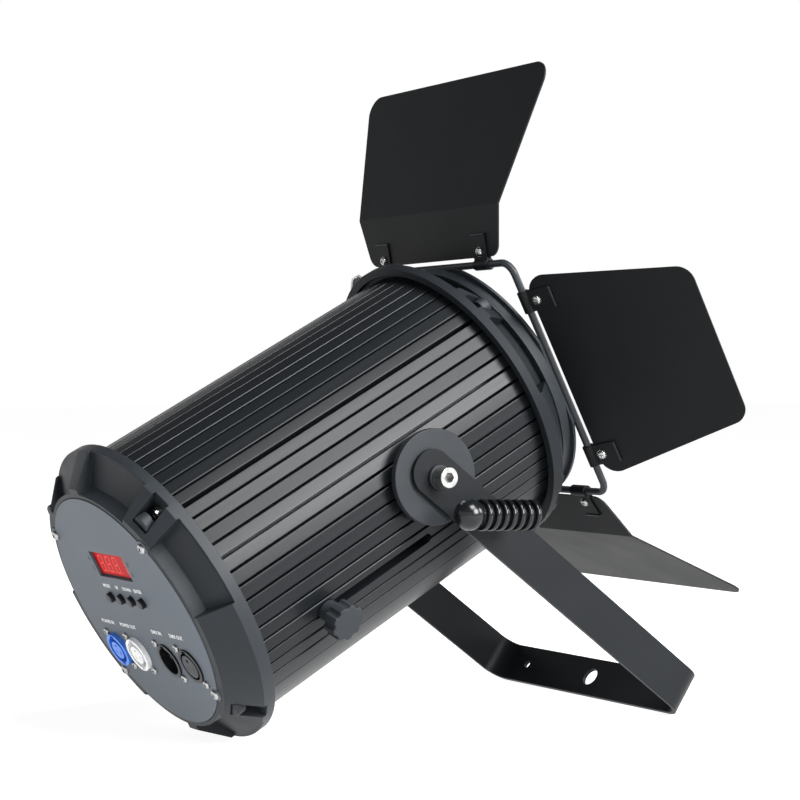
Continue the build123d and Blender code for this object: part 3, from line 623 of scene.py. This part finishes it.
def clip_fastener():
    """Serrated pan head on the outer tab and a hexagon nut with the screw's end under the inner tab."""
    seat = LEAF_T / 2 + CLIP_T
    tooth_count = 12
    head = cross_screw(radius=3.0 * MM, height=2.0 * MM, recess=3.5 * MM)
    head.data.transform(Matrix.Translation((0, 0, seat)))
    teeth = []
    for number in range(tooth_count):
        tooth = block((0.5 * MM, 0.7 * MM, 0.5 * MM), (3.15 * MM, 0, seat + 0.25 * MM))
        tooth.data.transform(Matrix.Rotation(radians(360 / tooth_count * number), 4, "Z"))
        teeth.append(tooth)
    nut = drum(3.1 * MM, -seat - 2.2 * MM, -seat, 6)
    soften(nut, 0.2 * MM)
    end = drum(1.5 * MM, -seat - 3.2 * MM, seat, 24)
    soften(end, 0.2 * MM)
    return join([head, nut, end, *teeth])


for side in LEAVES:
    fasteners = clip_fastener()
    spots = [Matrix.Translation((CLIP_SCREW_X, sense * CLIP_AT, 0)) for sense in (-1, 1)]
    fasteners = set_in(copies_at(fasteners, spots), leaf_frame(side))
    leaf = f"leaf_{side}"
    hand_over(fasteners, f"{leaf}_fasteners", leaf, steel, [f"{leaf}_screws"], 50)

# ---------------------------------------------------------------- clip lips
for side in LEAVES:
    lips = []
    for sense in (-1, 1):
        for face in (-1, 1):
            off_leaf = face * (LEAF_T / 2 + 1.25 * MM)
            lip = block((0.9 * MM, CLIP_W, 1.7 * MM), (CLIP_LIP_X, sense * CLIP_AT, off_leaf))
            lips.append(soften(lip, 0.25 * MM))
    lips = set_in(join(lips), leaf_frame(side))
    hand_over(lips, f"leaf_{side}_clip_lips", f"leaf_{side}", wire_paint)

# ---------------------------------------------------------------- rear panel: display, labels
# bar of a digit: across, up, turn in degrees
SEGMENTS = {
    "a": (0, 1, 0),
    "g": (0, 0, 0),
    "d": (0, -1, 0),
    "f": (-1, 0.5, 90),
    "b": (1, 0.5, 90),
    "e": (-1, -0.5, 90),
    "c": (1, -0.5, 90),
}
DIGITS = ["abcdefg", "abcdefg", "abcdefg", "bc"]


def segment(length, width):
    """One bar of a digit, pointed at both ends."""
    bpy.ops.mesh.primitive_cube_add(size=1)
    bar = bpy.context.object
    bar.scale = (length - width, width, 0.25 * MM)
    set_in(bar, Matrix.Identity(4))
    only(bar)
    bpy.ops.object.mode_set(mode="EDIT")
    for sense in (-1, 1):
        pick("FACE", lambda centre, normal: normal.x * sense > 0.9)
        bpy.ops.mesh.extrude_region_move(TRANSFORM_OT_translate={"value": (sense * width / 2, 0, 0)})
        bpy.ops.transform.resize(value=(1, 0.05, 1))
    bpy.ops.object.mode_set(mode="OBJECT")
    return bar


def digits():
    """Four digits with their points, slightly slanted, standing on the display."""
    half_w, half_h, pitch = 2.7 * MM, 5.6 * MM, 10.6 * MM
    made = []
    for number, lit in enumerate(DIGITS):
        centre = (number - 1.5) * pitch
        for key in lit:
            across, up, turn = SEGMENTS[key]
            bar = segment(5.0 * MM if turn == 0 else 5.2 * MM, 1.0 * MM)
            bar.data.transform(Matrix.Rotation(radians(turn), 4, "Z"))
            bar.data.transform(Matrix.Translation((centre + across * half_w, up * half_h, 0)))
            made.append(bar)
        made.append(drum(0.7 * MM, -0.12 * MM, 0.12 * MM, 16, (centre + 4.9 * MM, -half_h)))
    piece = join(made)
    slant = Matrix.Shear("XY", 4, (0, 0))
    slant[0][1] = 0.1
    piece.data.transform(slant)
    piece.data.transform(Matrix.Translation((0, DISPLAY_V, -2.0 * MM)))
    return set_in(piece, REAR)


hand_over(digits(), "display_digits", "head", digit_glow)

# the case's rim round the lit window, sunk in the panel
rim_out, rim_in = 2.4 * MM, 2.2 * MM
rim_at = (0, DISPLAY_V, -DISPLAY_DEPTH)
rim = block((DISPLAY_W + rim_out, DISPLAY_H + rim_out, 1.2 * MM), rim_at)
cut(rim, block((DISPLAY_W - rim_in, DISPLAY_H - rim_in, 6 * MM), rim_at))
soften(rim, 0.15 * MM)
set_in(rim, REAR)
hand_over(rim, "display_frame", "head", black_plastic)

# the case's snap latches, seen as two short marks on each side of the window
latch_u = DISPLAY_W / 2 + 4.4 * MM
latches = []
for sense in (-1, 1):
    for low, high in ((-5.2, -2.2), (2.2, 5.2)):
        latch_v = DISPLAY_V + (low + high) / 2 * MM
        bar = block((0.7 * MM, (high - low) * MM, 0.3 * MM), (sense * latch_u, latch_v, 0.05 * MM))
        latches.append(soften(bar, 0.1 * MM))
latches = set_in(join(latches), REAR)
hand_over(latches, "display_latch_marks", "head", black_plastic)


def label(words, u, v, size):
    """Flat printed words on the rear panel."""
    bpy.ops.object.text_add()
    text = bpy.context.object
    text.data.body = words
    text.data.size = size
    text.data.align_x = "CENTER"
    text.data.align_y = "CENTER"
    text.data.extrude = 0.02 * MM
    text.data.offset = 0.06 * MM
    only(text)
    bpy.ops.object.convert(target="MESH")
    text.data.transform(Matrix.Translation((u * MM, v * MM, 0.03 * MM)))
    return text


BUTTON_WORDS = {"MODE": -22.4, "UP": -7.5, "DOWN": 7.0, "ENTER": 22.6}
SOCKET_WORDS = {"POWER IN": -51.5, "POWER OUT": -21.5, "DMX IN": 19.2, "DMX OUT": 46.5}
labels = [label(words, u, 17.4, 3.6 * MM) for words, u in BUTTON_WORDS.items()]
labels += [label(words, u, -13.2, 3.9 * MM) for words, u in SOCKET_WORDS.items()]
labels = set_in(join(labels), REAR)
hand_over(labels, "panel_labels", "head", ink)

# ---------------------------------------------------------------- female signal socket
socket_u, socket_v = SOCKET_US[3] * MM, SOCKET_V * MM
face = drum(8.1 * MM, -0.9 * MM, 1.25 * MM, 64, (socket_u, socket_v))
soften(face, 0.3 * MM)
for deg in (90, 210, 330):
    hole = polar(4.2 * MM, deg)
    cut(face, drum(1.3 * MM, -2 * MM, 3 * MM, 24, (socket_u + hole.x, socket_v + hole.y)))
set_in(face, REAR)
hand_over(face, "signal_socket_face", "head", grey_plastic)

# ---------------------------------------------------------------- screw bosses inside the rings' windows
bosses = []
for deg in (45, 135, 225, 315):
    for z0, z1 in RING_BOSS_ZS:
        boss = drum(RING_BOSS_R, z0 * MM, z1 * MM, 48, polar(RING_BOSS_AT, deg))
        bosses.append(soften(boss, 0.8 * MM, 3))
bosses = set_in(join(bosses))
hand_over(bosses, "ring_window_bosses", "head", cast)


# ---------------------------------------------------------------- wire frame
def make_wire_frame():
    """Square hoop of round wire with weld beads where it crosses the flange's edge."""
    bpy.ops.mesh.primitive_plane_add(size=2 * WIRE_HALF, location=(0, 0, WIRE_Z))
    hoop = set_in(bpy.context.object, Matrix.Identity(4))
    only(hoop)
    bpy.ops.object.mode_set(mode="EDIT")
    bpy.ops.mesh.select_all(action="SELECT")
    bpy.ops.mesh.delete(type="ONLY_FACE")
    bpy.ops.mesh.select_all(action="SELECT")
    bpy.ops.mesh.bevel(offset=WIRE_CORNER, segments=12, affect="VERTICES")
    bpy.ops.object.mode_set(mode="OBJECT")
    bpy.ops.object.convert(target="CURVE")
    hoop.data.bevel_depth = WIRE_R
    hoop.data.bevel_resolution = 8
    hoop.data.use_fill_caps = True
    bpy.ops.object.convert(target="MESH")
    beads = []
    for turn in range(4):
        for sense in (-1, 1):
            bpy.ops.mesh.primitive_uv_sphere_add(
                segments=24,
                ring_count=12,
                radius=BEAD_R,
                location=(WIRE_HALF - 1.1 * MM, sense * BEAD_AT, WIRE_Z - 1.6 * MM),
            )
            bead = bpy.context.object
            bead.scale = (0.9, 1.7, 0.75)
            set_in(bead, Matrix.Rotation(radians(90 * turn), 4, "Z"))
            beads.append(bead)
    piece = set_in(join([hoop, *beads]))
    hand_over(piece, "wire_hoop", "barn_doors", wire_paint, ["barn_frame"], 60)


make_wire_frame()


# ---------------------------------------------------------------- clamping lever
def make_lever():
    """Ribbed grip with a ball end, standing across its hub."""
    grip_r, core_r, reach = 10.2 * MM, 7.4 * MM, 37.4 * MM
    rib_count, rib_pitch, rib_len = 7, 6.4 * MM, 3.4 * MM
    first_rib = reach - 8.4 * MM
    along = Vector((0, sin(LEVER_TURN), cos(LEVER_TURN)))
    across = Vector((1, 0, 0))
    grip_at = Vector((-LEVER_X, LEVER_N, LEVER_D))
    shapes = [drum(core_r, -10.5 * MM, reach, 64)]
    for number in range(rib_count):
        top = first_rib - rib_pitch * number
        rib = drum(grip_r, top - rib_len, top, 64)
        shapes.append(soften(rib, 1.3 * MM, 4))
    bpy.ops.mesh.primitive_uv_sphere_add(
        segments=64, ring_count=32, radius=grip_r - 0.2 * MM, location=(0, 0, reach)
    )
    shapes.append(set_in(bpy.context.object, Matrix.Identity(4)))
    grip = set_in(join(shapes), YOKE @ axes(grip_at, across, along.cross(across), along))
    hub = drum(HUB_R, HUB_FOOT, LEVER_X, 64)
    soften(hub, 0.8 * MM, 3)
    hub_at = Vector((0, LEVER_N, LEVER_D))
    set_in(hub, YOKE @ axes(hub_at, Vector((0, 1, 0)), Vector((0, 0, -1)), Vector((-1, 0, 0))))
    piece = join([grip, hub])
    hand_over(piece, "ribbed_lever", "tilt_lever", lever_plastic, ["tilt_lever"], 50)


make_lever()

# ---------------------------------------------------------------- studio
CAMERA_FROM_HEAD = Vector((-1.1161, 0.5388, 0.1433))
CAMERA_LOOKS = Vector((0.8325, -0.5539, -0.0067))
LIGHTS_AIM = Vector((0, 0, 0.2))


def make_camera():
    """Camera behind the lantern and to its right, a little above the rear panel."""
    data = bpy.data.cameras.new("camera")
    data.lens = 86.8
    data.sensor_width = 36
    camera = bpy.data.objects.new("camera", data)
    bpy.context.collection.objects.link(camera)
    camera.location = HEAD.translation + CAMERA_FROM_HEAD
    camera.rotation_euler = CAMERA_LOOKS.to_track_quat("-Z", "Y").to_euler()
    bpy.context.scene.camera = camera


def studio_floor():
    """Wide sheet of paper with a glow of its own, so that its far edge melts into the white wall."""
    bpy.ops.mesh.primitive_plane_add(size=40)
    floor = bpy.context.object
    floor.name = "floor"
    paper = finish(
        "floor_paper", (0.36, 0.36, 0.36), (0.38, 0.38, 0.38), rough=(0.8, 0.9), blotch=3, grain=60, bump=0.02
    )
    bsdf = paper.node_tree.nodes["Principled BSDF"]
    bsdf.inputs["Specular IOR Level"].default_value = 0
    bsdf.inputs["Emission Color"].default_value = (1, 1, 1, 1)
    bsdf.inputs["Emission Strength"].default_value = 0.9
    floor.data.materials.append(paper)


def studio_walls():
    """World that is white round the horizon and dark overhead."""
    white_below, dark_above = 0.26, 0.5
    world = bpy.data.worlds.new("studio")
    bpy.context.scene.world = world
    world.use_nodes = True
    tree = world.node_tree
    where = tree.nodes.new("ShaderNodeTexCoord")
    split = tree.nodes.new("ShaderNodeSeparateXYZ")
    height = tree.nodes.new("ShaderNodeMapRange")
    height.interpolation_type = "SMOOTHSTEP"
    height.inputs["From Min"].default_value = white_below
    height.inputs["From Max"].default_value = dark_above
    height.inputs["To Min"].default_value = 1.0
    height.inputs["To Max"].default_value = 0.1
    tree.links.new(where.outputs["Generated"], split.inputs["Vector"])
    tree.links.new(split.outputs["Z"], height.inputs["Value"])
    tree.links.new(height.outputs["Result"], tree.nodes["Background"].inputs["Strength"])
    tree.nodes["Background"].inputs["Color"].default_value = (1, 1, 1, 1)


def softbox(name, at, size, power):
    """A square soft light aimed at the lantern."""
    light = bpy.data.lights.new(name, "AREA")
    light.size = size
    light.energy = power
    lamp = bpy.data.objects.new(name, light)
    bpy.context.collection.objects.link(lamp)
    lamp.location = at
    lamp.rotation_euler = (LIGHTS_AIM - Vector(at)).to_track_quat("-Z", "Y").to_euler()


bpy.ops.object.select_all(action="DESELECT")
make_camera()
studio_floor()
studio_walls()
softbox("key", (-1.9, -0.62, 1.05), size=1.0, power=86)
softbox("key_top", (-1.25, -0.1, 1.95), size=1.0, power=62)
softbox("front", (-1.3, -2.4, 1.2), size=0.9, power=45)
bpy.context.scene.view_settings.view_transform = "Standard"
